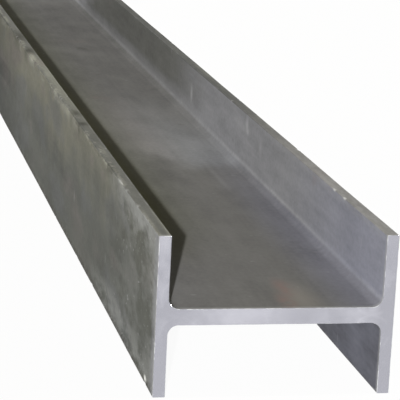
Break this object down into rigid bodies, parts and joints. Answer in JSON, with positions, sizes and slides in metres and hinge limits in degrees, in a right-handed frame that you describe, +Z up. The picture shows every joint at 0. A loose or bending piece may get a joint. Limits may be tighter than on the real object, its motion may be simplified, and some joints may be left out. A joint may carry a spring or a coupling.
{
  "type": "steel h-beam",
  "caption": "Hot-rolled steel H-beam: a straight bar with a level web between two parallel upright flanges, filleted roots and square sawn ends, for columns, lintels and frames.",
  "frame": {"origin": "on the ground, under the middle of the bar, as it lies on the toes of its flanges", "axes": "+X across the section from flange to flange, +Y along the bar, +Z up, square to the web"},
  "size_m": [0.294, 6, 0.2],
  "materials": {
    "mill_steel": "grey rolling skin with run marks and scuffs, pale bare metal on the sawn ends"
  },
  "bodies": {
    "root": {"h_beam": "mill_steel"}
  },
  "joints": []
}
